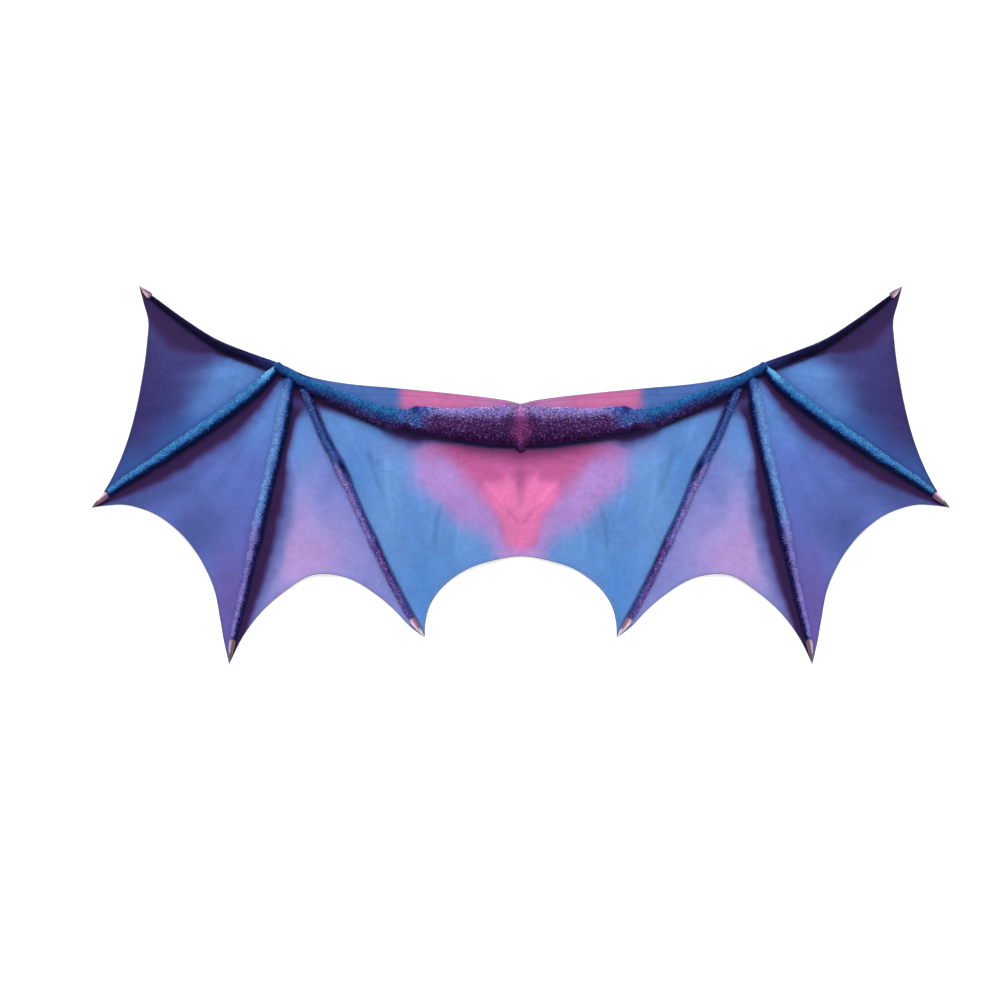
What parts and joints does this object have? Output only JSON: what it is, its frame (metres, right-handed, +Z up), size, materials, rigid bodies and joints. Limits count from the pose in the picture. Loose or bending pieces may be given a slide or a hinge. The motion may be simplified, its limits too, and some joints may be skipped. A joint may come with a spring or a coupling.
{
  "type": "costume dragon wings",
  "caption": "Pair of cloth dragon wings in one piece, with padded arm and finger ribs, a scalloped clawed hem and elastic arm bands, lying spread out face up.",
  "frame": {"origin": "middle of the bounding box in plan, on the surface that the wings lie on", "axes": "+X along the span, towards the right wing as it is seen; +Y towards the neckline and the upper wing tips; +Z up, out of the printed face"},
  "size_m": [1.6804, 0.7403, 0.0509],
  "materials": {
    "violet_cloth": "printed polyester, matt",
    "blue_cloth": "printed polyester, matt",
    "back_cloth": "printed polyester, matt",
    "navy_pile": "looped pile",
    "teal_pile": "looped pile",
    "lilac_pile": "looped pile",
    "plum_pile": "looped pile",
    "claw": "satin, pinkish ivory",
    "elastic": "woven elastic"
  },
  "bodies": {
    "root": {"tip_panel_left": "violet_cloth", "tip_panel_right": "violet_cloth", "outer_panel_left": "blue_cloth", "outer_panel_right": "blue_cloth", "inner_panel_left": "blue_cloth", "inner_panel_right": "blue_cloth", "back_panel": "back_cloth", "finger_1_left": "navy_pile", "finger_1_right": "navy_pile", "finger_2_left": "teal_pile", "finger_2_right": "teal_pile", "finger_3_left": "lilac_pile", "finger_3_right": "lilac_pile", "finger_4_left": "lilac_pile", "finger_4_right": "lilac_pile", "forearm_left": "teal_pile", "forearm_right": "teal_pile", "upper_arm_left": "plum_pile", "upper_arm_right": "plum_pile", "spine_knuckle": "plum_pile", "claw_1_left": "claw", "claw_1_right": "claw", "claw_2_left": "claw", "claw_2_right": "claw", "claw_3_left": "claw", "claw_3_right": "claw", "claw_4_left": "claw", "claw_4_right": "claw", "arm_band_left": "elastic", "arm_band_right": "elastic"}
  },
  "joints": []
}
